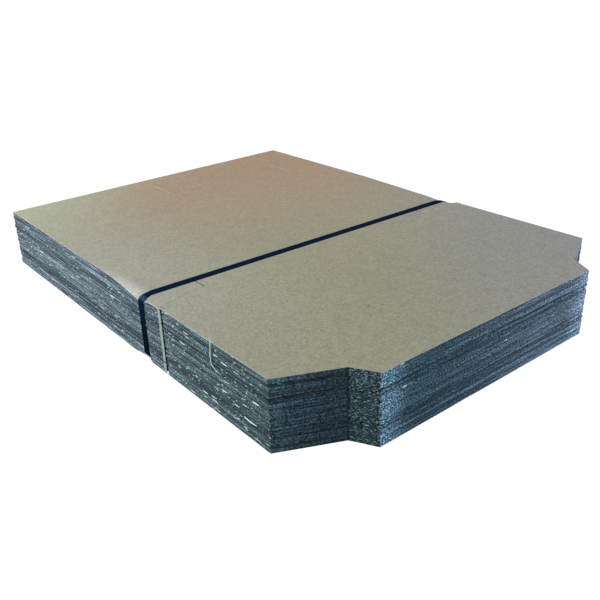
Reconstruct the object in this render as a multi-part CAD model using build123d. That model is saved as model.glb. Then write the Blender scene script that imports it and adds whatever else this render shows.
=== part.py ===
from build123d import *
import os
from math import hypot

# A strapped bundle of flattened cardboard boxes, in millimetres.
# Each flat box is one die-cut blank of single-wall corrugated board, and the blanks lie face to face.
# X runs across the blanks, Y from the tuck flap at the front to the straight rear edge, and Z is up.
# The origin lies on the ground under the middle of the bundle.

# Bundle
box_count = 50
board_thickness = 1.4
stacking_scatter = 0.3  # the furthest that a blank lies off the bundle's middle

# Outline of one blank
blank_width = 430.0
blank_length = 597.0
wing_width = 58.5  # from a side edge to the wing's fold line
lid_depth = 192.2  # from the lid's hinge line to the tuck flap's fold
ear_slope = 27.7  # how far the lid ear's cut front edge slants back
tuck_depth = 23.8
tuck_taper = 13.6  # how much each end of the tuck flap draws in

# Cuts in one blank
slot_width = 5.5
slot_depth = 4.0
slit_width = 0.8
wing_slit_length = 61.0
wing_slit_setback = 13.0  # from the lid's hinge line back to the slit along the wing's fold
outer_lock_length = 57.0
outer_lock_setback = 39.0  # from the rear edge
inner_lock_length = 47.0
inner_lock_setback = 30.0  # from the rear edge
inner_lock_spacing = 49.0

# Strap round the bundle
strap_width = 10.0
strap_thickness = 0.7
strap_setback = 31.0  # from the lid's hinge line back to the strap's middle
strap_skew = 6.0  # how far the strap's ends lie off square, each way
strap_bend_radius = 6.0
strap_side_clearance = 0.3
top_bite = 0.3  # how deep the strap sinks into the top board
weld_length = 36.0  # where the strap's ends lap and are welded, under the bundle

# Board edges that the strap bends
press_depth = 2.6  # how far the strap falls towards the side edge before it bends round it
press_reach = 14.0  # from the side edge in to where the board lies flat again
curl_depth = 6.0  # how far the edge of the top board curls down
curl_reach = 5.0  # width of the curled edge
press_margin = 1.0  # bent evenly beside the strap
top_boxes_bent = 16
top_run = 60.0  # from the strap back along the edge to where the top boards lie flat again
bottom_boxes_bent = 6
bottom_run = 25.0
free_end_share = 0.6  # what is left of the bend at the wing's end, which the ear's cut sets free

overrun = 5.0  # how far a cutting shape passes the faces that it cuts

# Steps of the stacking order that spread the blanks' small shifts
shuffle_across = 7
shuffle_along = 11

stack_height = box_count * board_thickness
side_x = blank_width / 2
fold_x = side_x - wing_width
rear_y = blank_length / 2
front_y = -blank_length / 2
tuck_y = front_y + tuck_depth
hinge_y = tuck_y + lid_depth
strap_y = hinge_y + strap_setback


def slit(x, rear_end, length):
    """A knife cut along the length of the blank."""
    return Pos(x, rear_end - length / 2) * Rectangle(slit_width, length)


def ear_cut_y(x):
    """Front side of the slanting cut that frees the lid's ear, from the wing's fold out to the hinge slot."""
    fold_end = hinge_y + wing_slit_setback
    slot_end = hinge_y + slot_width / 2 - slit_width
    return fold_end + (slot_end - fold_end) * (x - fold_x) / wing_width


def ear_cut(side):
    """The slanting cut on one side, from the slit along the fold into the hinge slot."""
    inner_x = fold_x - slit_width / 2
    front = [(side * x, ear_cut_y(x)) for x in (inner_x, side_x)]
    rear = [(x, y + slit_width) for x, y in reversed(front)]
    return Polygon(*front, *rear, align=None)


def blank_face(locks):
    """One blank from above: outline, hinge slots and ears' cuts, with or without the slits for its locking tabs."""
    right_edge = [
        (fold_x - tuck_taper, front_y),
        (fold_x, tuck_y),
        (side_x, tuck_y + ear_slope),
        (side_x, rear_y),
    ]
    left_edge = [(-x, y) for x, y in reversed(right_edge)]
    face = Polygon(*right_edge, *left_edge, align=None)
    for side in (-1, 1):
        face -= Pos(side * side_x, hinge_y) * Rectangle(2 * slot_depth, slot_width)
        face -= ear_cut(side)
        face -= slit(side * fold_x, hinge_y + wing_slit_setback + wing_slit_length, wing_slit_length)
        if locks:
            face -= slit(side * fold_x, rear_y - outer_lock_setback, outer_lock_length)
            face -= slit(side * inner_lock_spacing / 2, rear_y - inner_lock_setback, inner_lock_length)
    return face


def scatter(place, step):
    """How far a blank lies off the middle: every blank differs, and the furthest are equal and opposite."""
    share = 2 * (place * step % box_count) / (box_count - 1) - 1
    return share * stacking_scatter


def bend(height):
    """How far a board's knee and edge drop beside the strap: most at the top, none half way, upwards at the bottom."""
    from_top = max(0, 1 - (stack_height - height) / (top_boxes_bent * board_thickness))
    from_bottom = max(0, 1 - height / (bottom_boxes_bent * board_thickness))
    knee_depth = press_depth * (press_reach - curl_reach) / press_reach
    return knee_depth * (from_top - from_bottom), curl_depth * from_top - press_depth * from_bottom


def bend_stations(side, run):
    """Places along a side edge, rear to front, with the share of the full bend that acts at each."""
    crossing = strap_y - side * strap_skew
    flat = strap_width / 2 + press_margin
    free_end = ear_cut_y(side_x)
    past_share = overrun / (crossing - flat - free_end)
    past_end_share = 1 - (1 - free_end_share) * (1 + past_share)
    return [(crossing + flat + run, 0), (crossing + flat, 1), (crossing - flat, 1), (free_end - overrun, past_end_share)]


def bent_footprint(side, run, shift_x, shift_y):
    """The part of a blank beside the strap that bends: it ends in front at the ear's cut."""
    inner_x = side_x - press_reach
    outer_x = side_x + overrun
    rear_end = bend_stations(side, run)[0][0]
    front = [(side * x, ear_cut_y(x - side * shift_x) + slit_width + shift_y) for x in (inner_x, outer_x)]
    return Polygon(*front, (side * outer_x, rear_end), (side * inner_x, rear_end), align=None)


def bent_edge(side, run, edge_x, low):
    """The edge of one board beside the strap, bent at a knee and squeezed towards the middle of the stack."""
    inner_x = side * (side_x - press_reach)
    knee_x = side * (side_x - curl_reach)
    curl_share = (edge_x - knee_x) / (side * curl_reach)
    sections = []
    for y, share in bend_stations(side, run):
        corners = []
        for height in (low, low + board_thickness):
            knee_drop, edge_drop = bend(height)
            drop = knee_drop + (edge_drop - knee_drop) * curl_share
            corners.append([(inner_x, y, height), (knee_x, y, height - share * knee_drop), (edge_x, y, height - share * drop)])
        under, over = corners
        sections.append(make_face(Polyline(*under, *reversed(over), close=True)))
    return loft(sections, ruled=True)


def strap_inside():
    """The line that the strap's inner face follows round the bundle, drawn square to the floor."""
    slant = hypot(side_x, strap_skew) / side_x
    half = (side_x + stacking_scatter) * slant
    flat = (side_x - press_reach) * slant
    top = stack_height - top_bite
    bottom = strap_thickness
    right = [(flat, bottom), (half, bottom + press_depth), (half, top - press_depth), (flat, top)]
    left = [(-x, z) for x, z in reversed(right)]
    loop = Polygon(*right, *left, align=None)
    lap = Pos(0, bottom + strap_thickness / 2) * Rectangle(weld_length, strap_thickness)
    return fillet(loop.vertices(), strap_bend_radius), lap


def across_bundle(profile, width):
    """A band of the given width, with its profile across the bundle at the strap's slight skew."""
    crossing = Plane(origin=(0, strap_y, 0), x_dir=(side_x, -strap_skew, 0), z_dir=(-strap_skew, -side_x, 0))
    return extrude(crossing * profile, width / 2, dir=(0, 1, 0), both=True)


def strap():
    """One plastic band, welded to itself where its ends lap underneath."""
    inside, lap = strap_inside()
    return across_bundle(offset(inside, strap_thickness) - (inside - lap), strap_width)


def strap_channel():
    """All that lies outside the strap's inner face, which the strap crushes out of the boards."""
    inside, lap = strap_inside()
    middle = Pos(0, stack_height / 2)
    around = middle * Rectangle(blank_width + 2 * overrun, stack_height + 2 * overrun)
    return across_bundle(around - (inside - lap), strap_width + 2 * strap_side_clearance)


def flat_box(place, blank, channel):
    """One blank at its place in the stack, with its edges bent where the strap crosses them."""
    low = place * board_thickness
    high = low + board_thickness
    shift_x = scatter(place, shuffle_across)
    shift_y = scatter(place, shuffle_along)
    face = Pos(shift_x, shift_y) * blank
    if not any(bend(low) + bend(high)):
        return Pos(0, 0, low) * extrude(face, board_thickness)
    run = top_run if high > stack_height / 2 else bottom_run
    edges = []
    for side in (-1, 1):
        footprint = bent_footprint(side, run, shift_x, shift_y)
        face -= footprint
        edge = bent_edge(side, run, side * side_x + shift_x, low)
        edges.append(edge & extrude(footprint, stack_height, dir=(0, 0, 1)))
    board = Pos(0, 0, low) * extrude(face, board_thickness)
    return board + edges - channel


os.makedirs("parts", exist_ok=True)
inner_blank = blank_face(locks=False)
outer_blank = blank_face(locks=True)
channel = strap_channel()
for place in range(box_count):
    blank = outer_blank if place in (0, box_count - 1) else inner_blank
    export_step(flat_box(place, blank, channel), f"parts/flat_box_{place + 1:02d}.step")
export_step(strap(), "parts/strap.step")
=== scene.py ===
# %% [markdown]
# # A strapped bundle of flattened cardboard boxes
# Fifty die-cut box blanks lie face to face, and a navy plastic strap holds them.
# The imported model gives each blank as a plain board. This lesson rebuilds every board as real
# corrugated card, with two liners and a waved paper between them, because the cut edges are most of
# what the eye sees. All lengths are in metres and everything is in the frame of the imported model.

# %% Load the frame
import math

import bpy
import numpy as np
from mathutils import Matrix, Quaternion, Vector, geometry


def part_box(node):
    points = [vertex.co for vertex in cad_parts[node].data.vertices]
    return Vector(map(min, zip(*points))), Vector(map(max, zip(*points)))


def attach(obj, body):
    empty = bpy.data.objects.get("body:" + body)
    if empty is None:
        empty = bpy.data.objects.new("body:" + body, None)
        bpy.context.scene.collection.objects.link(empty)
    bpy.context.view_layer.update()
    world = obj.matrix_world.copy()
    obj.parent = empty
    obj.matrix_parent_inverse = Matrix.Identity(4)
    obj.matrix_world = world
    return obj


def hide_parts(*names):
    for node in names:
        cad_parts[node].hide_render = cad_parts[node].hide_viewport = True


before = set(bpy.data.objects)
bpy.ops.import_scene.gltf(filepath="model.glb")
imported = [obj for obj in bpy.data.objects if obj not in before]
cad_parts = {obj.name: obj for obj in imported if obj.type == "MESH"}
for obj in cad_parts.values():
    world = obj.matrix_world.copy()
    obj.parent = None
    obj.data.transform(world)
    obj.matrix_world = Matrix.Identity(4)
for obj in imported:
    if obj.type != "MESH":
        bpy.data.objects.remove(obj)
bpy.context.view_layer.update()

box_names = sorted(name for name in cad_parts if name.startswith("flat_box_"))
blank_low, blank_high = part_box(box_names[0])
side_x = (blank_high.x - blank_low.x) / 2
rear_y = (blank_high.y - blank_low.y) / 2
front_y = -rear_y
stack_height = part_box(box_names[-1])[1].z
board = stack_height / len(box_names)
print(f"{len(box_names)} boards of {board * 1000:.2f} mm, {2 * side_x:.3f} by {2 * rear_y:.3f} m")

# %% [markdown]
# ## The camera
# The eight corners of the top outline and five corners of the underside fix the view: a hand-held
# camera in front of the near left corner, about 25 degrees above the bundle and tipped a little to the
# right. The object stands left of the lens axis, so the lens is shifted, which keeps upright lines true.

# %% Camera
camera_place = Vector((-0.4971, -0.6372, 0.3712))
camera_aim = Vector((-0.0735, -0.0691, 0.0350))
camera_roll = math.radians(-2.65)


def placed(name, data):
    """An object in the scene that holds a lens, a lamp or a mesh."""
    made = bpy.data.objects.new(name, data)
    bpy.context.scene.collection.objects.link(made)
    return made


lens = bpy.data.cameras.new("view_lens")
lens.sensor_width = 36.0
lens.lens = 44.17
lens.shift_x = 0.0459
lens.shift_y = -0.0107
lens.clip_start = 0.01
camera = placed("view_camera", lens)
camera.location = camera_place
camera.rotation_mode = "QUATERNION"
level_look = (camera_aim - camera_place).to_track_quat("-Z", "Y")
camera.rotation_quaternion = level_look @ Quaternion((0, 0, 1), camera_roll)
bpy.context.scene.camera = camera
print(f"camera {(camera_aim - camera_place).length:.2f} m from what it looks at")

# %% [markdown]
# ## Writing shader sums in Python
# A finish is a web of nodes, and a web built by hand is hard to read. A small class wraps one output
# socket, so that masks are added and multiplied like numbers and each sum becomes a Math node.


# %% Sockets
class Sock:
    """One output of a finish's nodes, for sums written in Python."""

    def __init__(self, finish, socket):
        self.finish = finish
        self.socket = socket

    def sum(self, operation, first, second):
        return self.finish.node("ShaderNodeMath", {"operation": operation}, {0: first, 1: second})

    def __add__(self, other):
        return self.sum("ADD", self, other)

    def __sub__(self, other):
        return self.sum("SUBTRACT", self, other)

    def __rsub__(self, other):
        return self.sum("SUBTRACT", other, self)

    def __mul__(self, other):
        return self.sum("MULTIPLY", self, other)

    def __abs__(self):
        return self.sum("ABSOLUTE", self, 0.0)

    __radd__ = __add__
    __rmul__ = __mul__


print("sums of sockets are ready")

# %% [markdown]
# ## Building a finish
# Every other node comes from one method, which takes its type, its settings and its sockets. The methods
# after it are the few things that paper and plastic need again and again: mixed colours, soft steps, noise
# and the place of the point that is shaded.


# %% Finishes
class Finish:
    """The nodes of one material, or of the world, built from nothing."""

    def __init__(self, owner):
        owner.use_nodes = True
        self.owner = owner
        self.tree = owner.node_tree
        self.tree.nodes.clear()

    def node(self, kind, settings=None, sockets=None, output=0):
        made = self.tree.nodes.new(kind)
        for name, value in (settings or {}).items():
            setattr(made, name, value)
        for key, value in (sockets or {}).items():
            if isinstance(value, Sock):
                self.tree.links.new(value.socket, made.inputs[key])
            else:
                made.inputs[key].default_value = value
        if isinstance(output, (list, tuple)):
            return [Sock(self, made.outputs[name]) for name in output]
        return Sock(self, made.outputs[output]) if made.outputs else made

    def mix(self, share, first, second, way="MIX"):
        """Two colours mixed by a share from 0 to 1."""
        settings = {"data_type": "RGBA", "blend_type": way}
        return self.node("ShaderNodeMix", settings, {0: share, 6: first, 7: second}, 2)

    def ramp(self, value, low, high, to_low=0.0, to_high=1.0):
        """A smooth step of a value, from to_low at low to to_high at high."""
        sockets = {"Value": value, 1: low, 2: high, 3: to_low, 4: to_high}
        return self.node("ShaderNodeMapRange", {"interpolation_type": "SMOOTHSTEP"}, sockets)

    def between(self, value, low, risen, falling, high):
        """One between two limits: it rises from low to risen and falls from falling to high."""
        return self.ramp(value, low, risen) * self.ramp(value, falling, high, 1.0, 0.0)

    def noise(self, place, scale, detail, rough):
        """Noise of one scale, or of one for each axis, which makes a grain that runs one way."""
        if isinstance(scale, tuple):
            place = self.node("ShaderNodeVectorMath", {"operation": "MULTIPLY"}, {0: place, 1: scale})
            scale = 1.0
        sockets = {"Vector": place, "Scale": scale, "Detail": detail, "Roughness": rough}
        return self.node("ShaderNodeTexNoise", None, sockets)

    def grain(self, place, scale, detail, rough, low, high):
        """Noise with more contrast: none of it under low, all of it over high."""
        return self.ramp(self.noise(place, scale, detail, rough), low, high)

    def shaded(self, colour, shade):
        """A colour darkened or lightened by one value."""
        grey = self.node("ShaderNodeCombineColor", None, {0: shade, 1: shade, 2: shade})
        return self.mix(1.0, colour, grey, "MULTIPLY")

    def spot(self):
        """The place of the point that is shaded, and its three parts."""
        place = self.node("ShaderNodeTexCoord", output="Object")
        return [place] + self.node("ShaderNodeSeparateXYZ", None, {0: place}, ["X", "Y", "Z"])

    def surface(self, **sockets):
        """The shader and the output, with socket names written with underscores."""
        named = {name.replace("_", " "): value for name, value in sockets.items()}
        shader = self.node("ShaderNodeBsdfPrincipled", None, named)
        self.node("ShaderNodeOutputMaterial", None, {"Surface": shader})
        return self.owner


print("finishes are ready")

# %% [markdown]
# ## Floor and light
# The background is plain white. The floor shows white to the camera with a trace of shadow, and is a
# quiet grey to the light, so that it doesn't throw light up into the dark cut edges. One broad soft
# lamp stands high behind the left side, where the brightest edge is, and a weak one fills from the
# front right, so the cut corner between them stays the darkest face.

# %% Floor, lamps and world
floor_half = 20.0
floor_drop = 0.0002
floor_shown_share = 0.93
corner_signs = ((-1, -1), (1, -1), (1, 1), (-1, 1))


def seen_straight(finish):
    """One for rays that show the background: from the camera, off a shiny face or through glass."""
    rays = ["Is Camera Ray", "Is Glossy Ray", "Is Transmission Ray"]
    camera_ray, glossy_ray, passing_ray = finish.node("ShaderNodeLightPath", output=rays)
    return camera_ray + glossy_ray + passing_ray


def floor_finish():
    finish = Finish(bpy.data.materials.new("floor_white"))
    shown = seen_straight(finish) * floor_shown_share
    matt = finish.node("ShaderNodeBsdfDiffuse", None, {"Color": (0.50, 0.50, 0.50, 1)})
    white = finish.node("ShaderNodeEmission", None, {"Color": (1, 1, 1, 1), "Strength": 1.10})
    both = finish.node("ShaderNodeMixShader", None, {0: shown, 1: matt, 2: white})
    finish.node("ShaderNodeOutputMaterial", None, {"Surface": both})
    return finish.owner


floor_mesh = bpy.data.meshes.new("floor")
floor_corners = [(a * floor_half, b * floor_half, -floor_drop) for a, b in corner_signs]
floor_mesh.from_pydata(floor_corners, [], [(0, 1, 2, 3)])
floor_mesh.materials.append(floor_finish())
floor = placed("floor", floor_mesh)


def lamp(name, place, size, watts):
    """A soft square lamp that points at the middle of the bundle."""
    data = bpy.data.lights.new(name, "AREA")
    data.size = size
    data.energy = watts
    holder = placed(name, data)
    holder.location = place
    holder.rotation_mode = "QUATERNION"
    holder.rotation_quaternion = (-Vector(place)).to_track_quat("-Z", "Y")


lamp("rear_left_lamp", (-1.9, 0.9, 1.45), 1.6, 58.5)
lamp("front_right_lamp", (1.7, -1.3, 1.1), 1.2, 16.0)

world = bpy.data.worlds.new("studio")
bpy.context.scene.world = world
sky = Finish(world)
fill = sky.node("ShaderNodeBackground", None, {"Color": (1, 1, 1, 1), "Strength": 0.40})
white = sky.node("ShaderNodeBackground", None, {"Color": (1, 1, 1, 1), "Strength": 1.0})
both = sky.node("ShaderNodeMixShader", None, {0: seen_straight(sky), 1: fill, 2: white})
sky.node("ShaderNodeOutputWorld", None, {"Surface": both})
bpy.context.scene.view_settings.view_transform = "Standard"
print("floor, two lamps and a white world")

# %% [markdown]
# ## The sizes of one blank
# All the boards are one shape: straight rear and sides, lid ears with slanting front edges, and a tuck
# flap that draws in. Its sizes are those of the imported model, apart from the cuts. A knife cut in card
# closes again, so the cuts are drawn finer here, and the slot a little wider, because its lips hide
# part of it. The finishes need these sizes too: the cut edges change their tone at the folds.

# %% Sizes of the blank
wing_width = 0.0585
lid_depth = 0.1922
ear_slope = 0.0277
tuck_depth = 0.0238
tuck_taper = 0.0136
slot_width = 0.0062
slot_depth = 0.0040
cut_width = 0.0002
open_slit_width = 0.0014
knife_width = 0.0003
wing_slit_length = 0.0610
wing_slit_setback = 0.0130
outer_lock_lengths = {-1: 0.0570, 1: 0.0470}
outer_lock_setbacks = {-1: 0.0390, 1: 0.0700}
inner_lock_length = 0.0470
inner_lock_setback = 0.0300
inner_lock_spacing = 0.0490
strap_setback = 0.0310
strap_skew = 0.0060

fold_x = side_x - wing_width
step_x = fold_x - tuck_taper
tuck_y = front_y + tuck_depth
ear_y = tuck_y + ear_slope
hinge_y = tuck_y + lid_depth
slot_front_y = hinge_y - slot_width / 2
slot_rear_y = hinge_y + slot_width / 2
strap_y = hinge_y + strap_setback


def strap_line(x):
    """Where the strap's middle crosses the board at x: it lies slightly askew."""
    return strap_y - strap_skew * x / side_x


def ear_cut_line(x):
    """Rear side of the slanting cut that frees the lid's ear, from the wing's fold out to the slot."""
    inner_y = hinge_y + wing_slit_setback + cut_width
    return inner_y + (slot_rear_y - inner_y) * (abs(x) - fold_x) / wing_width


print(f"hinge line at {hinge_y:.3f}, strap at {strap_y:.3f}")

# %% [markdown]
# ## Brown liner paper
# The liner is unbleached paper from mixed fibres, mottled in patches of a few millimetres and strewn with
# dark specks and pale fibres. Across the top it is painted warmer and lighter towards the left rear, where
# the lamp stands, and greyer towards the front right: this is painted light. On the left edge just behind
# the strap, where the edge rolls down, it is painted paler as a painted highlight. The place on the board
# drives the slow change, noise the mottle and the grain, and a value kept on each point of the mesh marks
# the bruised, fluffed rim along each cut, and paints shade on the liners of the inner boards near their cuts.

# %% Liner finish
def liner_finish():
    paper = Finish(bpy.data.materials.new("brown_liner"))
    place, x, y, _ = paper.spot()
    # Painted light: warmer and lighter towards the left rear, where the lamp stands, greyer towards the front
    # right.
    painted_warm_light_rear = paper.ramp(y + x * 0.4, -0.13, 0.33)
    painted_cool_light_front_right = paper.ramp(x - y * 0.8, 0.06, 0.42)
    painted_light_left = paper.ramp(y - x * 0.8, 0.22, 0.52)
    painted_light_beside_left = paper.ramp(x, -0.215, -0.02, 1.0, 0.0) * paper.ramp(y, -0.30, -0.02, 0.2, 1.0)
    tone = paper.mix(painted_warm_light_rear, (0.280, 0.276, 0.196, 1), (0.364, 0.264, 0.184, 1))
    tone = paper.mix(painted_cool_light_front_right, tone, (0.268, 0.272, 0.268, 1))
    tone = paper.mix(painted_light_beside_left * 0.75, tone, (0.335, 0.338, 0.292, 1))
    tone = paper.mix(painted_light_left, tone, (0.385, 0.415, 0.290, 1))
    # A painted highlight where the left edge rolls down just behind the strap.
    behind_strap = paper.between(y, -0.045, -0.030, -0.02, 0.07)
    painted_rolled_highlight = paper.ramp(x, -0.2155, -0.2000, 1.0, 0.0) * behind_strap
    tone = paper.mix(painted_rolled_highlight * 0.5, tone, (0.60, 0.60, 0.58, 1))
    middle = paper.between(y, -0.20, -0.05, 0.06, 0.25)
    patches = paper.grain(place, 60.0, 3.0, 0.6, 0.25, 0.75)
    mottle = paper.grain(place, 210.0, 3.0, 0.7, 0.28, 0.72)
    grain = paper.grain(place, (560.0, 380.0, 560.0), 2.0, 0.6, 0.25, 0.75)
    tone = paper.shaded(tone, 0.745 + middle * 0.04 + patches * 0.06 + mottle * 0.15 + grain * 0.29)
    warmth = paper.grain(place, 130.0, 3.0, 0.6, 0.3, 0.7)
    tint = paper.mix(warmth, (0.97, 1.02, 0.98, 1), (1.03, 0.98, 1.02, 1))
    tone = paper.mix(1.0, tone, tint, "MULTIPLY")
    specks = paper.grain(place, 300.0, 2.0, 0.4, 0.71, 0.76)
    tone = paper.mix(specks * 0.75, tone, (0.060, 0.050, 0.038, 1))
    pale = paper.grain(place, (240.0, 520.0, 240.0), 2.0, 0.4, 0.71, 0.79)
    tone = paper.mix(pale * 0.45, tone, (0.62, 0.58, 0.47, 1))
    fray_and_gap_shade = paper.node("ShaderNodeAttribute", {"attribute_name": "cut_rim"}, None, "Fac")
    tufted = paper.ramp(paper.noise(place, 200.0, 3.0, 0.5), 0.35, 0.60, 0.35, 1.0)
    tone = paper.mix(paper.ramp(fray_and_gap_shade, 0.0, 1.0) * tufted, tone, (0.60, 0.66, 0.66, 1))
    # Negative values paint shade on the inner boards' liners near their cuts, where the gaps between boards
    # lie in shadow.
    tone = paper.mix(paper.ramp(fray_and_gap_shade, 0.0, -0.25), tone, (0.032, 0.052, 0.070, 1))
    bump = paper.node("ShaderNodeBump", None, {"Strength": 0.25, "Distance": 0.0004,
                                               "Height": grain * 0.6 + mottle * 0.4})
    return paper.surface(Base_Color=tone, Roughness=0.88, Normal=bump, Specular_IOR_Level=0.3)


brown_liner = liner_finish()
print("liner finish", brown_liner.name)

# %% [markdown]
# ## Cut edges and the waved paper
# The cut edges are dragged into streaks along the wall and strewn with torn white fibres. Their dark, cold
# blue-grey is painted shade and painted cool fill light. The waved paper behind is thin recycled stock,
# painted darker as shade in its own tunnels. The tone changes all round as painted light and shade: the
# sides are painted darker towards the front, away from the rear lamp; the faces towards the front are
# painted bluer and brighter to the right, as if lit by the fill lamp; the flap's ends are fluffed by handling
# and painted bright as lit by that lamp; the slanted corners and the step show their tunnels and are
# painted dark as shade, with painted shade in the crease at the fold. One function makes both finishes,
# and a third is for the fibres that stand off the board.

# %% Rim, waved paper and torn fibre finishes
def edge_finish(name, light, fleck_share):
    edge = Finish(bpy.data.materials.new(name))
    place, x, y, _ = edge.spot()
    reach = abs(x)
    front = edge.ramp(y, ear_y - 0.009, ear_y + 0.001, 1.0, 0.0)
    step = front * edge.ramp(reach, step_x - 0.0009, step_x + 0.0011)
    corner = front * edge.ramp(reach, fold_x - 0.0005, fold_x + 0.0010)
    flap_end = front * edge.ramp(reach, 0.108, 0.140)
    middle = front - flap_end
    fluffed = flap_end * (1 - corner)
    # Painted light and shade: the edges' dark cold blue-grey stands in for shade and cool fill light; the
    # sides are painted lighter towards the rear lamp, and the faces towards the front bluer, brighter towards
    # the fill lamp at the front right.
    side_painted_light = edge.mix(edge.ramp(y, -0.26, 0.06), (0.063, 0.108, 0.118, 1), (0.153, 0.208, 0.244, 1))
    front_painted_light = edge.mix(edge.ramp(x, -0.11, 0.10), (0.074, 0.158, 0.230, 1), (0.194, 0.304, 0.430, 1))
    tone = edge.mix(front, side_painted_light, front_painted_light)
    # The flap's ends are painted bright, as lit by the fill lamp; the step and the slanted corners are
    # painted dark as shade, and lighter on the right, where the fill lamp reaches them.
    towards_fill_lamp = edge.ramp(x, -0.1, 0.1)
    end_painted_light = edge.mix(towards_fill_lamp, (0.258, 0.500, 0.690, 1), (0.450, 0.670, 0.920, 1))
    tone = edge.mix(flap_end, tone, end_painted_light)
    step_painted_light = edge.mix(towards_fill_lamp, (0.048, 0.094, 0.118, 1), (0.300, 0.470, 0.660, 1))
    corner_painted_light = edge.mix(towards_fill_lamp, (0.066, 0.119, 0.168, 1), (0.300, 0.470, 0.660, 1))
    tone = edge.mix(corner, edge.mix(step, tone, step_painted_light), corner_painted_light)
    long_drag = edge.grain(place, (42.0, 42.0, 1150.0), 2.0, 0.6, 0.30, 0.70)
    short_drag = edge.grain(place, (580.0, 580.0, 900.0), 2.0, 0.6, 0.30, 0.70)
    lines = edge.grain(place, (9.0, 9.0, 430.0), 2.0, 0.6, 0.36, 0.64)
    drag = (long_drag * 0.45 + lines * 0.55) * (1 - fluffed) + short_drag * fluffed
    speckle = edge.grain(place, 600.0, 2.0, 0.6, 0.32, 0.68)
    board_tone = edge.node("ShaderNodeAttribute", {"attribute_name": "board_tone"}, None, "Fac")
    bands = 0.30 + front * 0.30 + corner * 0.15 + board_tone * (1.40 - front * 0.60 - corner * 0.30)
    # Painted shade in the crease at the wing's fold, spread a little way along each slanted corner.
    crease_painted_shade = 1 - front * edge.ramp(abs(reach - fold_x), 0.0002, 0.0009, 0.60, 0.0)
    crease_painted_shade = crease_painted_shade * (1 - corner * edge.ramp(reach, 0.165, 0.205, 0.20, 0.0))
    streaks = 0.14 + middle * 0.24 + drag * (1.72 - middle * 0.48)
    coarse = fluffed + corner * 0.8 + middle * 0.8
    dots = 0.42 - coarse * 0.36 + speckle * (1.16 + coarse * 0.72)
    tone = edge.shaded(tone, streaks * dots * bands * crease_painted_shade * light)
    torn = edge.grain(place, (250.0, 250.0, 800.0), 2.0, 0.5, 0.635, 0.69)
    torn_share = (1 - front * 0.8) * edge.ramp(y, -0.05, 0.15, 1.0, 0.6) * fleck_share
    tone = edge.mix(torn * torn_share, tone, (0.64, 0.82, 0.84, 1))
    return edge.surface(Base_Color=tone, Roughness=0.92, Specular_IOR_Level=0.2)


def fibre_finish():
    fibre = Finish(bpy.data.materials.new("torn_fibre"))
    place, x, y, _ = fibre.spot()
    mottle = fibre.noise(place, 500.0, 3.0, 0.6)
    tone = fibre.mix(mottle, (0.58, 0.76, 0.76, 1), (0.76, 0.97, 0.98, 1))
    on_side = fibre.ramp(abs(x), side_x - 0.010, side_x - 0.005)
    on_slot = on_side * fibre.ramp(abs(y - hinge_y), 0.006, 0.010, 1.0, 0.0)
    tone = fibre.mix(on_slot, tone, (0.41, 0.50, 0.45, 1))
    # Painted shade on the fibres towards the front, where the step is in shade; on the front face itself they
    # are painted brighter again, as lit by the fill lamp.
    front_face_painted_light = fibre.ramp(y, front_y + 0.0001, front_y + 0.0010, 1.9, 1.0)
    tone = fibre.shaded(tone, fibre.ramp(y, ear_y - 0.009, ear_y + 0.001, 0.62, 1.0) * front_face_painted_light)
    return fibre.surface(Base_Color=tone, Roughness=0.9, Specular_IOR_Level=0.2)


# The rims are painted lighter, as lit, and the waved paper darker, as shaded in its tunnels.
cut_rim = edge_finish("cut_rim", 1.50, 0.9)
waved_paper = edge_finish("waved_paper", 0.75, 0.7)
torn_fibre = fibre_finish()
print("edge finishes", [m.name for m in (cut_rim, waved_paper, torn_fibre)])

# %% [markdown]
# ## Outline and cuts
# On the machine a steel rule, bent to this shape, is pressed through the board in one stroke. A slot at
# each side leads into a slanting cut and a slit along the wing's fold, and four short slits near the rear
# take the locking tabs. Each cut is a closed loop of corners, so that one set of functions serves them
# all. The slit along the fold gapes in front of the strap, which presses the wing down, and is shut behind.

# %% Outline and cuts
right_half = [(step_x, front_y), (fold_x, tuck_y), (side_x, ear_y), (side_x, rear_y)]
outline = right_half + [(-x, y) for x, y in reversed(right_half)]


def oblong(x, y, width, length):
    return [(x + a * width / 2, y + b * length / 2) for a, b in corner_signs]


def wing_cuts(side):
    """The slot, the slanting cut that leads into it, and the slit along the wing's fold."""
    inner_x = side * (fold_x - cut_width / 2)
    outer_x = side * side_x
    slit_start = hinge_y + wing_slit_setback
    slit_middle = strap_line(inner_x)
    slit_end = slit_start + wing_slit_length
    slant = [(x, ear_cut_line(x) - back) for x, back in
             ((inner_x, cut_width), (outer_x, cut_width), (outer_x, 0), (inner_x, 0))]
    return [oblong(outer_x, hinge_y, 2 * slot_depth, slot_width), slant,
            oblong(side * fold_x, (slit_start + slit_middle) / 2, open_slit_width, slit_middle - slit_start),
            oblong(side * fold_x, (slit_middle + slit_end) / 2, cut_width, slit_end - slit_middle)]


def lock_slits(side):
    outer_y = rear_y - outer_lock_setbacks[side] - outer_lock_lengths[side] / 2
    inner_y = rear_y - inner_lock_setback - inner_lock_length / 2
    return [oblong(side * fold_x, outer_y, knife_width, outer_lock_lengths[side]),
            oblong(side * inner_lock_spacing / 2, inner_y, knife_width, inner_lock_length)]


wing_loops = wing_cuts(-1) + wing_cuts(1)
lock_loops = lock_slits(-1) + lock_slits(1)
print(f"{len(outline)} corners, {len(wing_loops)} wing cuts and {len(lock_loops)} lock slits")

# %% [markdown]
# ## Measuring a plan
# The card has to be triangulated, and for that a few questions come up again and again. Is a spot on the
# card? How far is it from a cut? Where does a line run that keeps a small distance from an edge? The
# functions answer for thousands of points at once, because they work on whole arrays.


# %% Measuring a plan
def sides_of(loop):
    return list(zip(loop, loop[1:] + loop[:1]))


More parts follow.
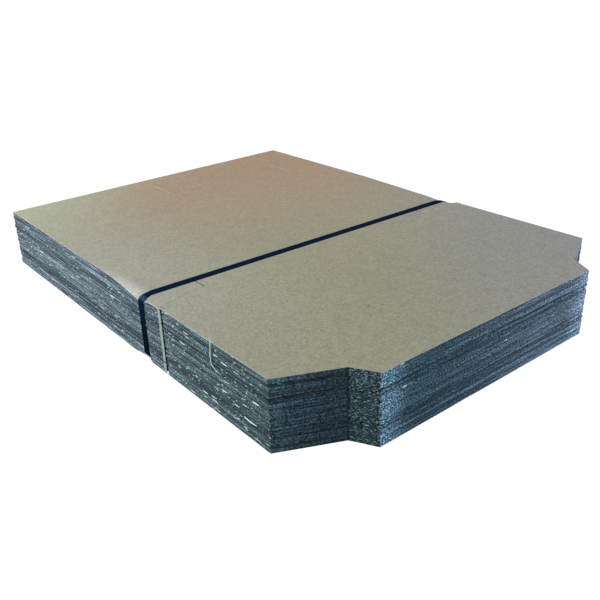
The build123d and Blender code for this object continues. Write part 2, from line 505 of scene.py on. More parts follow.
def inside(points, loop):
    """Which points lie inside a closed loop, by counting the loop's sides to the right of each."""
    x, y = points[:, 0], points[:, 1]
    found = np.zeros(len(points), bool)
    for (ax, ay), (bx, by) in sides_of(loop):
        crosses = (ay > y) != (by > y)
        span = by - ay if by != ay else 1.0
        found ^= crosses & (x < ax + (y - ay) * (bx - ax) / span)
    return found


def distance(points, loop):
    """How far each point lies from the nearest side of a closed loop."""
    nearest = np.full(len(points), np.inf)
    for start, end in sides_of(loop):
        start, run = np.array(start), np.array(end) - np.array(start)
        share = np.clip(((points - start) @ run) / (run @ run), 0, 1)
        nearest = np.minimum(nearest, np.linalg.norm(points - start - share[:, None] * run, axis=1))
    return nearest


def on_card(points, cuts):
    """Which points lie on the card, inside the outline and clear of every cut."""
    held = inside(points, outline)
    for loop in cuts:
        held &= ~inside(points, loop)
    return held


def along_loop(loop, step):
    """Evenly spaced points along each side of a loop."""
    points = []
    for start, end in sides_of(loop):
        start, end = np.array(start), np.array(end)
        count = max(1, round(np.linalg.norm(end - start) / step))
        points += [tuple(start + (end - start) * k / count) for k in range(count)]
    return points


def offset_loop(loop, gap):
    """A loop moved inwards by a gap, or outwards where the gap is negative."""
    area = sum(a[0] * b[1] - b[0] * a[1] for a, b in sides_of(loop))
    lines = []
    for start, end in sides_of(loop):
        run = Vector(end) - Vector(start)
        inward = Vector((-run.y, run.x)).normalized() * math.copysign(1, area) * gap
        lines.append((Vector(start) + inward, run))
    corners = []
    for (p, r), (q, t) in zip(lines[-1:] + lines[:-1], lines):
        share = (q - p).cross(t) / r.cross(t)
        corners.append(tuple(p + r * share))
    return corners


print("a millimetre inside the outline's first corner:", np.round(offset_loop(outline, 0.001)[0], 4))

# %% [markdown]
# ## Triangles of a blank
# A flat sheet could be one large face, but this one bends beside the strap, so it needs points there.
# They are set along the edges, along the strap and in a net where the edge curls, and a Delaunay
# triangulation joins them without crossing a cut. The top and bottom boards are seen from outside and get
# a fine plan; the boards between them show only their edges and share a coarse one.

# %% Triangles of a blank
# How far the bend runs back from the strap on the left and the right, and the net of points there
top_run = 0.0600
right_run = 0.1400
net_ahead = 0.0340
net_overrun = 0.0100
net_clear_share = 0.6
flat_stations = np.linspace(-0.19, 0.19, 25)

# Rows of points beside the strap's middle, and in from the board's edge
valley_offsets = (-0.0140, -0.0088, -0.0070, -0.0056, -0.0049, 0.0049, 0.0056, 0.0090, 0.0140)
press_insets = (0.0015, 0.0030, 0.0048, 0.0070, 0.0100, 0.0140)
swell_offsets = (-0.0150, -0.0110, -0.0086, -0.0070, -0.0056, 0.0056)


class Plan:
    """The triangles of a blank, its rim, and how far each point lies from a cut."""

    def __init__(self, cuts, edge_step, valley, press_step, rim_inset):
        self.cuts = cuts
        self.rim_inset = rim_inset
        self.lines, self.points = [], []
        for loop in [outline] + cuts:
            self.add_line(along_loop(loop, edge_step), True)
        self.add_line(along_loop(offset_loop(outline, rim_inset), edge_step), True)
        if valley:
            for loop in cuts:
                self.add_line(along_loop(offset_loop(loop, -rim_inset), edge_step), True)
            curled = [side_x - inset for inset in (0.0,) + press_insets]
            stations = sorted(curled + [-x for x in curled] + list(flat_stations))
            for offset in valley_offsets:
                self.add_line([(x, strap_line(x) + offset) for x in stations], False)
        for x in (-side_x, side_x):
            self.points.extend((x, strap_line(x) + offset) for offset in swell_offsets)
        self.add_press_points(press_step)
        self.triangulate()
        self.gap = np.min([distance(self.flat, loop) for loop in [outline] + cuts], axis=0)
        self.outer_gap = distance(self.flat, outline)

    def add_line(self, run, closed):
        first = len(self.points)
        self.points.extend(run)
        self.lines.extend((first + k, first + k + 1) for k in range(len(run) - 1))
        if closed:
            self.lines.append((first + len(run) - 1, first))

    def add_press_points(self, step):
        """A finer net beside the strap, where the edge curls."""
        extra = []
        for side, run in ((-1, top_run), (1, right_run)):
            x = side * side_x
            for along in np.arange(-net_ahead, run + net_overrun, step):
                extra += [(x - side * inset, strap_line(x) + along) for inset in press_insets]
        extra = np.array(extra)
        clear = on_card(extra, self.cuts)
        for loop in [outline] + self.cuts:
            clear &= distance(extra, loop) > net_clear_share * self.rim_inset
        self.points.extend(tuple(p) for p in extra[clear])

    def triangulate(self):
        made = geometry.delaunay_2d_cdt([Vector(p) for p in self.points], self.lines, [], 0, 1e-7)
        flat = np.array([tuple(v) for v in made[0]])
        faces = np.array([f for f in made[2] if len(f) == 3])
        faces = faces[on_card(flat[faces].mean(axis=1), self.cuts)]
        used = np.unique(faces)
        number = np.full(len(flat), -1)
        number[used] = np.arange(len(used))
        flat, faces = flat[used], number[faces]
        a, b, c = (flat[faces[:, k]] for k in range(3))
        turned = (b[:, 0] - a[:, 0]) * (c[:, 1] - a[:, 1]) < (b[:, 1] - a[:, 1]) * (c[:, 0] - a[:, 0])
        faces[turned] = faces[turned][:, ::-1]
        sides = {(int(f[k]), int(f[(k + 1) % 3])) for f in faces for k in range(3)}
        self.rim = np.array([s for s in sorted(sides) if (s[1], s[0]) not in sides])
        self.flat, self.faces = flat, faces


outer_loops = wing_loops + lock_loops
outer_plan = Plan(outer_loops, edge_step=0.005, valley=True, press_step=0.004, rim_inset=0.0009)
inner_plan = Plan(wing_loops, edge_step=0.018, valley=False, press_step=0.010, rim_inset=0.0035)
for plan in (outer_plan, inner_plan):
    print(f"{len(plan.flat)} points, {len(plan.faces)} triangles, {len(plan.rim)} rim sides")

# %% [markdown]
# ## How the strap bends the edges
# The strap curls the edges of the top boards down and lifts the bottom ones a little. Behind it the bend
# fades slowly. In front of it the wing ends at the slanting cut, so the edge comes up again there. A
# simulation could find this shape, but a few soft steps of the distance from the strap are easier to steer.

# %% Bend beside the strap
strap_width = 0.0100

# How deep the edges are bent, how far in from the side, and in how many boards
press_depth = 0.0026
press_reach = 0.0140
press_margin = 0.0010
curl_depth = 0.0060
curl_power = 2.9
lift_power = 1.4
top_boards_bent = 16
bottom_boards_bent = 6

# How the bend fades behind the strap: on the right a share of it fades within a short knee
bottom_run = 0.0250
fade_power = 1.4
knee_run = 0.0220
knee_share = 0.45

# How it lets go in front: the left edge springs up at once and then slowly, the right one rises evenly
bottom_release = 0.0060
right_release = 0.0120
spring_start = 0.0056
spring_end = 0.0086
spring_share = 0.45
free_run = 0.0160
free_end_share = 0.3


def smooth(share):
    share = np.clip(share, 0, 1)
    return share * share * (3 - 2 * share)


def strap_drop(x, y, z):
    """How far the strap has bent a spot down: the top boards curl, the bottom ones lift a little."""
    from_edge = np.clip((np.abs(x) - (side_x - press_reach)) / press_reach, 0, 1.05)
    from_top = np.clip(1 - (stack_height - z) / (top_boards_bent * board), 0, 1)
    from_bottom = np.clip(1 - z / (bottom_boards_bent * board), 0, 1)
    gap = y - strap_line(x)
    past = gap - strap_width / 2 - press_margin
    ahead = -gap - strap_width / 2 - press_margin
    sprung = 1 - (1 - spring_share) * smooth((-gap - spring_start) / (spring_end - spring_start))
    sprung = sprung - (spring_share - free_end_share) * np.clip((-gap - spring_end) / free_run, 0, 1)
    left_share = np.where(gap > 0, (1 - np.clip(past / top_run, 0, 1)) ** fade_power, sprung)
    fading = knee_share * (1 - smooth(past / knee_run))
    fading = fading + (1 - knee_share) * (1 - np.clip(past / right_run, 0, 1))
    right_share = np.where(gap > 0, fading, 1 - np.clip(ahead / right_release, 0, 1))
    bottom_share = 1 - np.where(gap > 0, smooth(past / bottom_run), smooth(ahead / bottom_release))
    curled = curl_depth * from_edge ** curl_power * from_top * np.where(x < 0, left_share, right_share)
    lifted = press_depth * from_edge ** lift_power * from_bottom * bottom_share
    freed_by_cut = y < ear_cut_line(x) - cut_width / 2
    return np.where(freed_by_cut, 0, curled - lifted)


edge_bend = strap_drop(-side_x, strap_line(-side_x), stack_height)
print(f"under the strap the top edge drops by {edge_bend * 1000:.1f} mm")

# %% [markdown]
# ## How the boards settle
# Stacked boards aren't flat planes. The cut edges wander up and down together, and each board is squeezed
# a little thinner along its own cut, some far more than others, which opens the dark lines between them.
# One function gives the height of any spot in any board, so that neighbours never run into each other.

# %% Height of a spot in the stack
top_board = len(box_names) - 1

# The shallow bed that the strap presses into the top board
strap_thickness = 0.0007
top_bite = 0.0003
bite_half = 0.0049
bite_edge = 0.0012
valley_depth = 0.00015
valley_half = 0.0040
valley_run = 0.0110

# The wandering and the thinning of the cut edges
wave_height = 0.00060
wave_reach = 0.040
squeeze_reach = 0.0045
rng = np.random.default_rng(50)
wave_count = 12
wave_vectors = np.column_stack([rng.normal(0, 60.0, wave_count), rng.normal(0, 60.0, wave_count),
                                rng.normal(0, 260.0, wave_count)])
wave_phases = rng.uniform(0, 2 * math.pi, wave_count)
squeezes = 0.00007 + 0.00036 * rng.uniform(0, 1, len(box_names)) ** 2.5
squeeze_phases = rng.uniform(0, 2 * math.pi, (len(box_names), 4))[:, :3]


def height(number, x, y, level, gap=0.0):
    """Height of a spot in a board: level is 0 at its underside and 1 at its top, gap is from the edge."""
    z = (number + level) * board
    share = z / stack_height
    spots = np.column_stack([x, y, np.broadcast_to(z, x.shape)])
    waves = np.sin(spots @ wave_vectors.T + wave_phases).sum(axis=1) / math.sqrt(wave_count)
    calm = np.clip(8 * (share + 0.04) * (1 - share), 0, 1)
    lift = wave_height * waves * calm * (1 - smooth(gap / wave_reach))
    lift = np.maximum(lift, -0.6 * z)
    a, b, c = squeeze_phases[number]
    along = np.sin(x * 61 + y * 83 + a) + np.sin(y * 31 - x * 47 + b) + 0.7 * np.sin(y * 290 + x * 230 + c)
    thin = squeezes[number] * np.clip(1 + 0.5 * along, 0.1, 2.2) * (1 - smooth(gap / squeeze_reach))
    off_strap = np.abs(y - strap_line(x))
    under_strap = 1 - smooth((off_strap - bite_half) / bite_edge)
    bite = 0.0
    if number == top_board:
        thin = thin * (1 - level)
        valley = valley_depth * (1 - smooth((off_strap - valley_half) / valley_run))
        bite = -level * np.maximum(top_bite * under_strap, valley)
    if number == 0:
        thin = thin * level
        bite = (1 - level) * strap_thickness * under_strap
    return z - strap_drop(x, y, z) + lift + thin * (1 - 2 * level) + bite


print(f"edges wander by about {wave_height * 1000:.1f} mm and thin by {squeezes.max() * 1000:.2f} mm at most")

# %% [markdown]
# ## Liners
# A liner is a thin plate with the blank's outline. Its outer face takes the brown finish, its rim the
# cut finish and its inner face the finish of the waved paper. The two plates of a board come from the
# same triangles, lifted to four levels. A pile gathers the shells of one board into one mesh.

# %% Liner plates
liner = 0.00020
liner_share = liner / board
edge_zone = 0.0020
swell_depth = 0.0006
swell_start = 0.0057
swell_rise = 0.0012
swell_fade_start = 0.0080
swell_fade = 0.0120
held_half = 0.0060
free_reach = 0.0030
LINER, RIM, WAVED, FIBRE = 0, 1, 2, 3


class Pile:
    """Points and faces of a mesh that is put together from several shells."""

    def __init__(self):
        self.points, self.faces, self.finishes, self.smooth, self.rims = [], [], [], [], []
        self.count = 0

    def add_points(self, points, rims=None):
        first = self.count
        self.points.append(points)
        self.rims.append(np.zeros(len(points)) if rims is None else rims)
        self.count += len(points)
        return first

    def add_faces(self, faces, first, finish, smooth_faces):
        self.faces += (np.asarray(faces) + first).tolist()
        self.finishes += [finish] * len(faces)
        self.smooth += [smooth_faces] * len(faces)

    def mesh(self, name, finishes, tone):
        made = bpy.data.meshes.new(name)
        points = np.concatenate(self.points)
        made.from_pydata(points.tolist(), [], self.faces)
        for finish in finishes:
            made.materials.append(finish)
        made.polygons.foreach_set("material_index", self.finishes)
        made.polygons.foreach_set("use_smooth", self.smooth)
        fray_and_gap_shade = made.attributes.new("cut_rim", "FLOAT", "POINT")
        fray_and_gap_shade.data.foreach_set("value", np.concatenate(self.rims).astype(np.float32))
        tones = made.attributes.new("board_tone", "FLOAT", "POINT")
        tones.data.foreach_set("value", np.full(len(points), tone, np.float32))
        made.update()
        return made


def fray(x, y):
    """How pale the top board's rim is: fluffed along the sides, rear and flap, clean at the corners."""
    wear = np.full(len(x), 0.35)
    wear[np.abs(x) > side_x - edge_zone] = 0.80
    wear[y > rear_y - 0.10] = 0.65
    wear[y < ear_y + 0.001] = 0.0
    wear[y < front_y + edge_zone] = 0.85
    return wear


def held_by_strap(x, y):
    """The strap holds the edges in line, and just in front of it they swell out a little."""
    ahead = strap_line(x) - y
    swell = swell_depth * smooth((ahead - swell_start) / swell_rise)
    swell = swell * (1 - smooth((ahead - swell_fade_start) / swell_fade))
    x = x + np.where(np.abs(x) > side_x - edge_zone, np.sign(x) * swell, 0)
    limit = side_x + np.where(np.abs(ahead) < held_half, 0.0, free_reach)
    return np.clip(x, -limit, limit)


def plate(pile, plan, number, low, high, shift, outer_up):
    """One liner between two levels of a board."""
    x, y = plan.flat[:, 0], plan.flat[:, 1]
    near = 1 - smooth(plan.gap / (0.95 * plan.rim_inset))
    # The top board's outer face gets its pale fray near the cuts; every other liner face gets painted gap
    # shade there.
    fray_and_gap_shade = near * (fray(x, y) if number == top_board and outer_up else -1.0)
    layers = []
    for level in (low, high):
        z = height(number, x, y, level, plan.outer_gap)
        layers.append(np.column_stack([held_by_strap(x + shift.x, y), y + shift.y, z]))
    first = pile.add_points(np.concatenate(layers), np.concatenate([fray_and_gap_shade, fray_and_gap_shade]))
    over = len(plan.flat)
    pile.add_faces(plan.faces + over, first, LINER if outer_up else WAVED, True)
    pile.add_faces(plan.faces[:, ::-1], first, WAVED if outer_up else LINER, True)
    a, b = plan.rim[:, 0], plan.rim[:, 1]
    pile.add_faces(np.column_stack([a, b, b + over, a + over]), first, RIM, False)


print(f"liners of {liner * 1000:.2f} mm")

# %% [markdown]
# ## The waved paper
# The wave runs along the length of the blank, with a crest every 3.3 mm. Seen end-on it shows as rows of
# little tunnels, and along the sides the knife opens one tunnel lengthwise. No two boards are cut at the
# same place in the wave, and the wave isn't quite parallel to the sides, so the side walls show long
# streaks. The paper is a grid of columns along the wave, each ended where it meets the outline.

# %% Columns and shells
def front_end(x):
    """Where the blank's front edge lies at x."""
    reach = np.abs(x)
    flap = front_y + tuck_depth * np.clip((reach - step_x) / tuck_taper, 0, 1)
    return flap + ear_slope * np.clip((reach - fold_x) / wing_width, 0, 1)


def columns_of(start, skew):
    """Front and rear ends of the columns that cross y = 0 at the given places."""
    front = front_end(start)
    for _ in range(4):
        front = front_end(start + skew * front)
    rear = np.full_like(start, rear_y)
    if abs(skew) > 1e-9:
        leaves_left = (-side_x - start) / skew
        leaves_right = (side_x - start) / skew
        front = np.maximum(front, np.minimum(leaves_left, leaves_right))
        rear = np.minimum(rear, np.maximum(leaves_left, leaves_right))
    return front, rear


def shell(pile, over, under, finish, end_finish=None):
    """A closed thin shell from two grids of points, without the faces that have no area."""
    wide, long = over.shape[:2]
    top = np.arange(wide * long).reshape(wide, long)
    low = top + wide * long

    def quads(a, b, c, d):
        return np.column_stack([a.ravel(), b.ravel(), c.ravel(), d.ravel()])

    sheets = [quads(top[:-1, :-1], top[1:, :-1], top[1:, 1:], top[:-1, 1:]),
              quads(low[:-1, :-1], low[:-1, 1:], low[1:, 1:], low[1:, :-1])]
    ends = [quads(low[:-1, 0], low[1:, 0], top[1:, 0], top[:-1, 0]),
            quads(low[1:, -1], low[:-1, -1], top[:-1, -1], top[1:, -1]),
            quads(low[0, 1:], low[0, :-1], top[0, :-1], top[0, 1:]),
            quads(low[-1, :-1], low[-1, 1:], top[-1, 1:], top[-1, :-1])]
    points = np.concatenate([over.reshape(-1, 3), under.reshape(-1, 3)])
    first = pile.add_points(points)
    for faces, paint, rounded_faces in ((sheets, finish, True), (ends, end_finish, False)):
        faces = np.concatenate(faces)
        across = np.linalg.norm(np.cross(points[faces[:, 2]] - points[faces[:, 0]],
                                         points[faces[:, 3]] - points[faces[:, 1]]), axis=1)
        pile.add_faces(faces[across > 1e-11], first, finish if paint is None else paint, rounded_faces)


left_end, right_end = columns_of(np.array([-0.15, 0.15]), 0.0)[0]
print(f"columns at the flap's ends start at {left_end:.4f} and {right_end:.4f}")

# %% [markdown]
# ## Bands of waved paper
# Near the sides the boards bend with the strap, so the columns there have many points along their length,
# and the slanting cut divides them in two. In the middle a column is straight from front to rear and needs
# only its ends. That keeps fifty boards of real wave within reach.

# %% Waved paper of one board
wave_pitch = 0.0033
columns_per_wave = 6
waved_thickness = 0.00020
column_step = wave_pitch / columns_per_wave
row_step = 0.0220
shortest_column = 0.0020
greatest_skew = 0.005
side_band = 0.0065
side_margin = 0.0030
near_strap = np.array([-0.028, -0.014, -0.0086, -0.0070, -0.0056, 0.0056, 0.016, 0.030])


def waved_band(pile, number, start, skew, phase, rows, shift, low=-1.0, high=1.0):
    """A band of waved paper: columns at start, with points at the rows of y between low and high."""
    front, rear = columns_of(start, skew)
    front, rear = np.maximum(front, low), np.minimum(rear, high)
    kept = rear - front > shortest_column
    start, front, rear = start[kept], front[kept], rear[kept]
    y = np.clip(np.broadcast_to(rows, (len(start), len(rows))), front[:, None], rear[:, None])
    x = np.clip(start[:, None] + skew * y, -side_x, side_x)
    drift = 0.6 * np.sin(start * 43 + number)
    swing = np.sin(2 * math.pi * start / wave_pitch + phase + drift)[:, None]
    room = 1 - 2 * liner_share - waved_thickness / board
    level = np.broadcast_to(0.5 + 0.5 * room * swing, x.shape)
    gap = distance(np.column_stack([x.ravel(), y.ravel()]), outline)
    middle = height(number, x.ravel(), y.ravel(), level.ravel(), gap).reshape(x.shape)
    x = held_by_strap(x + shift.x, y)
    sheet = np.stack([x, y + shift.y, middle], axis=-1)
    half = np.array([0, 0, waved_thickness / 2])
    shell(pile, sheet + half, sheet - half, WAVED, RIM)


def waved_sheet(pile, number, shift):
    rng = np.random.default_rng(700 + number)
    bent = number < bottom_boards_bent or number >= len(box_names) - top_boards_bent
    skew = 0.0 if bent else rng.uniform(-greatest_skew, greatest_skew)
    phase = rng.uniform(0, 2 * math.pi)
    margin = 0.0 if bent else side_margin
    starts = np.arange(-side_x - margin, side_x + margin, column_step)
    long_rows = np.concatenate([np.arange(front_y, rear_y, row_step), [rear_y]])
    band_width = press_reach + press_margin if bent else side_band
    left = starts <= -side_x + band_width
    right = starts >= side_x - band_width
    for band, side in ((left, -1), (right, 1)):
        rows = np.sort(np.concatenate([long_rows, strap_line(side * side_x) + near_strap]))
        column = starts[band]
        cut = ear_cut_line(column)
        ahead = np.where(np.abs(column) > side_x - slot_depth, slot_front_y, cut - cut_width)
        waved_band(pile, number, column, skew, phase, rows, shift, high=ahead)
        waved_band(pile, number, column, skew, phase, rows, shift, low=cut)
    middle = starts[np.nonzero(left)[0][-1]:np.nonzero(right)[0][0] + 1]
    rows = [front_y, rear_y]
    if number in (0, top_board):
        rows = [front_y, front_y + 0.06, rear_y - 0.04, rear_y]
    waved_band(pile, number, middle, skew, phase, np.array(rows), shift)


print(f"a wave every {wave_pitch * 1000:.1f} mm")

# %% [markdown]
# ## Torn paper at the slots
# The punch that cuts a slot doesn't leave it clean: it pushes the outer fibres forward, and they stay as a
# pale, crushed lip over the opening, one above the other down the whole side. On the top board a flap of
# liner still hangs over the slot. A lip is a thin closed strip that stands a little off the wall.

# %% Lips and flaps at the slots
lip_reach = 0.0037
lip_root = 0.0008
lip_overlap_share = 0.25
lip_thickness = 0.00015
flap_root = 0.0006
flap_setback = 0.0012
flap_drop = 0.00003
fibre_off = 0.0002


def moved(x, y, z, shift):
    """Points on a board, with the board's small shift added."""
    return np.stack(np.broadcast_arrays(x + shift.x, y + shift.y, z), axis=-1)


def strip(pile, line, outward, tall, thick):
    """A thin closed strip along a line of points, as tall as given at each, standing off a wall."""
    up = np.cross(outward, np.gradient(line, axis=0))
    up *= (np.asarray(tall) / 2 / np.linalg.norm(up, axis=1))[:, None]
    out = np.asarray(outward) * thick
    shell(pile, np.stack([line + out - up, line + out + up], axis=1),
          np.stack([line - up, line + up], axis=1), FIBRE)


def slot_lips(pile, number):
    """The board's outer fibres, pushed forward over the slot by the blade."""
    rng = np.random.default_rng(300 + number)
    for side in (-1, 1):
        reach = lip_reach * rng.uniform(0.92, 1.06)
        y = slot_rear_y + lip_root - (reach + lip_root) * np.array([0.0, 0.5, 1.0])
        x = side * (side_x + fibre_off * np.array([1.0, 1.0, 0.0]))
        root_y = np.full(3, slot_rear_y + fibre_off)
        low = height(number, x, root_y, 0.0 if number == 0 else -lip_overlap_share)
        high = height(number, x, root_y, 1.0 if number == top_board else 1 + lip_overlap_share)
        line = np.column_stack([x, y, (low + high) / 2])
        strip(pile, line[::-side], (side, 0, 0), (high - low)[::-side], lip_thickness)


def slot_flap(pile, shift):
    """On the top board the liner over each slot was only torn at the front, and hangs there as a flap."""
    shares = np.array([0.0, 0.25, 0.5, 0.75])
    y = np.linspace(slot_rear_y + flap_root, slot_front_y + flap_setback, len(shares))
    for side in (-1, 1):
        x = side * (side_x - np.linspace(slot_depth + flap_root, 0.0, 5))[:, None]
        rear_z, front_z = (height(top_board, x[:, 0], np.full(5, end), 1.0)[:, None]
                           for end in (slot_rear_y + flap_root, slot_front_y))
        z = rear_z + (front_z - rear_z) * shares - flap_drop
        grid = moved(x, y, z, shift)[:, ::-side]
        shell(pile, grid, grid - np.array([0, 0, lip_thickness]), LINER)


print(f"lips reach {lip_reach * 1000:.1f} mm over a slot of {slot_width * 1000:.1f} mm")

# %% [markdown]
# ## Flecks on the walls
# A knife that has gone dull drags fibre out of the board. Along the sides it hangs as white curls, on the
# front as a few flecks. Small ones are strewn by chance, and the larger ones are listed one by one. Each is
# part of the board that it hangs on.

# %% Flecks
fleck_count = 4
fleck_margin = 0.0100
strap_clear = 0.0400
fibre_thickness = 0.00010
curl_thickness = 0.00008

# For each larger fleck its place along the wall, its height in the stack, its length and how tall it is
big_flecks = [(-0.2315, 0.042, 0.010, 0.0016), (-0.2215, 0.018, 0.018, 0.0018),
              (-0.120, 0.050, 0.011, 0.0012), (0.020, 0.047, 0.012, 0.0014),
              (-0.185, 0.030, 0.009, 0.0013), (0.210, 0.041, 0.010, 0.0016)]
front_flecks = [(-0.1487, 0.0190, 0.0020, 0.0018), (-0.1177, 0.0476, 0.0055, 0.0016),
                (-0.1211, 0.0694, 0.0050, 0.0010), (0.0142, 0.0398, 0.0045, 0.0013),
                (0.0868, 0.0395, 0.0040, 0.0013)]


def fleck(pile, number, shift, side, y, length, tall, lean, rng):
    """A curl of torn fibre on a side wall."""
    along = np.linspace(-0.5, 0.5, 7)
    level = rng.uniform(0.2, 0.8)
    x = np.full(7, side * side_x)
    spots = y + along * length
    z = height(number, x, spots, level) + lean * along
    bulge = fibre_off + rng.uniform(0.0001, 0.0007) * (1 - (2 * along) ** 2)
    line = moved(x + side * bulge, spots, z, shift)
    heights = tall * (1.02 - (2 * along) ** 2 * 0.7)
    strip(pile, line[::side], (side, 0, 0), heights[::side], curl_thickness)


def flecks(pile, number, shift):
    rng = np.random.default_rng(900 + number)
    for side in (-1, 1):
        for _ in range(fleck_count if side < 0 else fleck_count // 2):
            y = rng.uniform(ear_y + fleck_margin, rear_y - fleck_margin)
            length = 0.002 + 0.009 * rng.uniform() ** 2
            tall = 0.0005 + 0.0008 * rng.uniform() ** 2
            if abs(y - strap_y) > strap_clear and 0 < number < top_board - 1:
                fleck(pile, number, shift, side, y, length, tall, rng.normal(0, 0.0004), rng)
        for y, z, length, tall in big_flecks:
            if number == int(z / board):
                fleck(pile, number, shift, side, y, length, tall, 0.0, rng)


def front_fibres(pile, number, shift):
    """The flecks on the front and on the slanting end of the tuck flap."""
    for x, z, length, tall in front_flecks:
        if number == min(int(z / board), top_board):
            along = np.linspace(-0.5, 0.5, 5)
            spots = x + along * length
            y = front_end(spots) - fibre_off
            line = moved(spots, y, height(number, spots, y, 0.5), shift)
            strip(pile, line, (0, -1, 0), tall * (1.0 - (2 * along) ** 2 * 0.6), fibre_thickness)


print(f"up to {fleck_count} flecks a side on each board, {len(big_flecks) + len(front_flecks)} larger ones")

# %% [markdown]
# ## Tufts, torn fibre and a loose sliver
# The slanting ends of the tuck flap cut the waves slantwise, so each crest ends there in a small tuft. A
# little fibre is torn up along the slanting cut at the right of the top board, and one long sliver has
# come loose on the left side and stands up past the top.

# %% Tufts, torn fibre and the sliver
tuft_chance = 0.65
cut_fibre_setback = 0.0006

# From where to where across the board each torn fibre runs, and how wide it is
cut_fibre_runs = [(0.158, 0.168, 0.0009), (0.1775, 0.1805, 0.0010), (0.192, 0.194, 0.0006)]

# The sliver, from its root up
sliver_points = [(-0.2154, -0.1820, 0.0445), (-0.2162, -0.1746, 0.0461), (-0.2166, -0.1692, 0.0494),
                 (-0.2167, -0.1685, 0.0571), (-0.2166, -0.1696, 0.0674), (-0.2164, -0.1706, 0.0765)]
sliver_widths = [0.0005, 0.0008, 0.0008, 0.0009, 0.0008, 0.0005]
sliver_board = int(sliver_points[0][2] / board)


def step_tufts(pile, number, shift):
    """Tufts of fibre where the wave's crests were cut slantwise, at the ends of the tuck flap."""
    rng = np.random.default_rng(1300 + number)
    for side in (-1, 1):
        for x in np.arange(step_x + rng.uniform(0, wave_pitch), fold_x - 0.0006, wave_pitch):
            if rng.uniform() > tuft_chance:
                continue
            spots = side * (x + np.array([-0.0004, 0.0, 0.0004]))
            y = front_end(spots) - fibre_off / 2
            line = moved(spots, y, height(number, spots, y, rng.uniform(0.3, 0.7)), shift)
            tall = rng.uniform(0.0004, 0.0008) * np.array([0.6, 1.0, 0.6])
            strip(pile, line[::side], (0.8 * side, -0.6, 0), tall, curl_thickness)


def cut_fibres(pile, shift):
    """White fibre that was torn up along the slanting cut at the right of the top board."""
    for start, end, wide in cut_fibre_runs:
        x = np.linspace(start, end, 5)
        y = ear_cut_line(x) - cut_fibre_setback
        gap = distance(np.column_stack([x, y]), outline)
        line = moved(x, y, height(top_board, x, y, 1.0, gap) + fibre_off / 2, shift)
        strip(pile, line, (0, 0, 1), wide * np.array([0.4, 1.0, 0.7, 0.9, 0.4]), fibre_thickness)


def sliver(pile):
    """A loose sliver that the knife left hanging on one board's left side: it stands up past the top."""
    strip(pile, np.array(sliver_points), (-1, 0, 0), sliver_widths, fibre_thickness)


print(f"the sliver hangs on board {sliver_board + 1}")

# %% [markdown]
# ## Putting the boards together
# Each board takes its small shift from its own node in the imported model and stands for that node.
# Boards come off the machine in small runs that were cut with a fresher or a duller knife, so a tone
# that drifts up through the stack is kept on each board's points.

# %% Boards
tone_rng = np.random.default_rng(11)
run_tones = np.repeat(tone_rng.uniform(0, 1, len(box_names)), tone_rng.integers(1, 6, len(box_names)))
board_tones = 0.45 * run_tones[:len(box_names)] + 0.55 * tone_rng.uniform(0, 1, len(box_names))
stray = np.clip(tone_rng.normal(0, 0.00025, (len(box_names), 2)), -0.0005, 0.0005)
stray[top_board] = 0


def flat_box(number, name):
    low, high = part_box(name)
    shift = (low + high) / 2 + Vector((stray[number, 0], stray[number, 1], 0))
    plan = outer_plan if number in (0, top_board) else inner_plan
    pile = Pile()
    plate(pile, plan, number, 0.0, liner_share, shift, False)
    plate(pile, plan, number, 1 - liner_share, 1.0, shift, True)
    waved_sheet(pile, number, shift)
    slot_lips(pile, number)
    flecks(pile, number, shift)
    front_fibres(pile, number, shift)
    step_tufts(pile, number, shift)
    if number == sliver_board:
        sliver(pile)
    if number == top_board:
        slot_flap(pile, shift)
        cut_fibres(pile, shift)
    finishes = [brown_liner, cut_rim, waved_paper, torn_fibre]
    piece = placed(f"card_{name}", pile.mesh(f"card_{name}", finishes, board_tones[number]))
    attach(piece, "root")
    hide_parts(name)
    return sum(len(face) - 2 for face in pile.faces)


triangle_total = sum(flat_box(number, name) for number, name in enumerate(box_names))
print(f"{len(box_names)} boards with {triangle_total} triangles")

# %% [markdown]
# ## The strap's plastic
# Navy polypropylene strapping is nearly black, with fine scuffs along it and a faint blue shine. Where it
# bends over the edge a paler blue is painted on as a highlight, and the strap is painted darker towards the
# bottom as shade. The shine comes from a second shader, mixed in weakly, because the shine of one shader
# alone would be grey.

# %% Strap finish
def strap_finish():
    strap = Finish(bpy.data.materials.new("navy_strap"))
    place, x, _, z = strap.spot()
    scuff = strap.noise(place, (60.0, 900.0, 60.0), 4.0, 0.6)
    tone = strap.mix(scuff, (0.0012, 0.0056, 0.0180, 1), (0.0034, 0.0112, 0.0310, 1))
    # A paler blue painted where the strap bends over the edge: a painted highlight.
    bend = strap.between(abs(x), side_x - 0.0060, side_x - 0.0030, side_x - 0.0015, side_x + 0.0005)
    painted_bend_highlight = bend * strap.ramp(z, 0.030, 0.040) * strap.ramp(scuff, 0.40, 0.60)
    tone = strap.mix(painted_bend_highlight, tone, (0.060, 0.130, 0.280, 1))
    # Painted shade: the strap darker towards the bottom of its sides.
    tone = strap.shaded(tone, strap.ramp(z, 0.028, 0.058, 0.30, 1.0))
    sockets = {"Base Color": tone, "Roughness": 0.6, "Specular IOR Level": 0.0}
    plastic = strap.node("ShaderNodeBsdfPrincipled", None, sockets)
    shine = strap.node("ShaderNodeBsdfGlossy", None, {"Color": (0.20, 0.50, 1.0, 1), "Roughness": 0.32})
    both = strap.node("ShaderNodeMixShader", None, {0: 0.009, 1: plastic, 2: shine})
    strap.node("ShaderNodeOutputMaterial", None, {"Surface": both})
    return strap.owner


navy_strap = strap_finish()
print("strap finish", navy_strap.name)

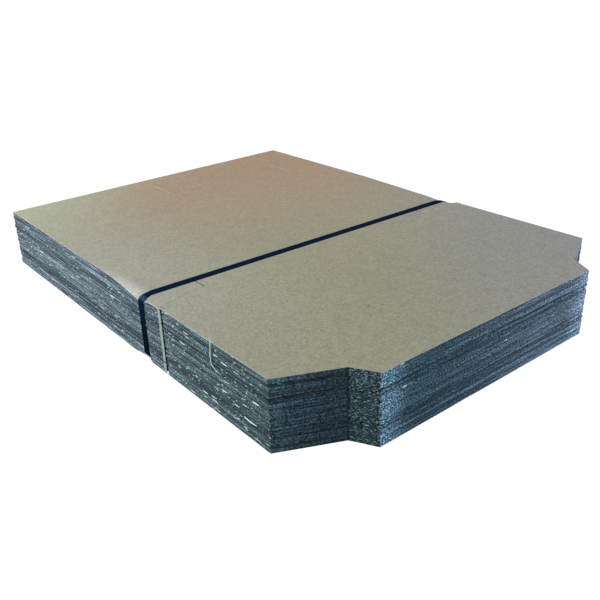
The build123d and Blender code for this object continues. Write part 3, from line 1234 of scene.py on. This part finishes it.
# %% [markdown]
# ## The strap's loop
# The loop lies flat on the top, falls a little towards each side, bends round the edge and runs straight
# down. Its corners are rounded first, and then the section, a thin oblong with soft edges, is carried round
# it. The strap lies slightly askew, so each point takes its place along the bundle from the strap's line.

# %% Strap band
strap_bend_radius = 0.0060
strap_clearance = 0.0003


def rounded(corners, radius, steps):
    """A closed line of points with each corner rounded."""
    line = []
    for before, corner, after in zip(corners[-1:] + corners[:-1], corners, corners[1:] + corners[:1]):
        corner = Vector(corner)
        back = (Vector(before) - corner).normalized()
        on = (Vector(after) - corner).normalized()
        half_angle = back.angle(on) / 2
        tangent = radius / math.tan(half_angle)
        middle = corner + (back + on).normalized() * radius / math.sin(half_angle)
        start = corner + back * tangent - middle
        turn = start.angle_signed(corner + on * tangent - middle)
        line += [middle + Matrix.Rotation(-turn * k / steps, 2) @ start for k in range(steps + 1)]
    return line


strap_half = side_x + strap_clearance
flat_half = side_x - press_reach
strap_top = stack_height - top_bite
right_side = [(flat_half, strap_thickness), (strap_half, strap_thickness + press_depth),
              (strap_half, strap_top - press_depth), (flat_half, strap_top)]
loop_corners = right_side + [(-x, z) for x, z in reversed(right_side)]
inner_line = rounded(loop_corners, strap_bend_radius, 8)
section_shares = [(-1, 0.2), (-0.94, 0), (0.94, 0), (1, 0.2), (1, 0.65), (0.90, 0.98), (0, 1), (-0.90, 0.98),
                  (-1, 0.65)]
section = [(across * strap_width / 2, rise * strap_thickness) for across, rise in section_shares]

strap_points, strap_faces = [], []
for k, spot in enumerate(inner_line):
    run = inner_line[(k + 1) % len(inner_line)] - inner_line[k - 1]
    outward = Vector((run.y, -run.x)).normalized()
    for across, rise in section:
        at = spot + outward * rise
        strap_points.append((at.x, strap_line(at.x) + across, at.y))
for k in range(len(inner_line)):
    for j in range(len(section)):
        here, there = k * len(section), (k + 1) % len(inner_line) * len(section)
        on = (j + 1) % len(section)
        strap_faces.append((here + j, there + j, there + on, here + on))
strap_mesh = bpy.data.meshes.new("strap_band")
strap_mesh.from_pydata(strap_points, [], strap_faces)
strap_mesh.materials.append(navy_strap)
strap_mesh.polygons.foreach_set("use_smooth", [True] * len(strap_faces))
strap_band = placed("strap_band", strap_mesh)
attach(strap_band, "root")
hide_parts("strap")
print(f"strap of {len(strap_faces)} faces, {2 * strap_half:.4f} m inside")
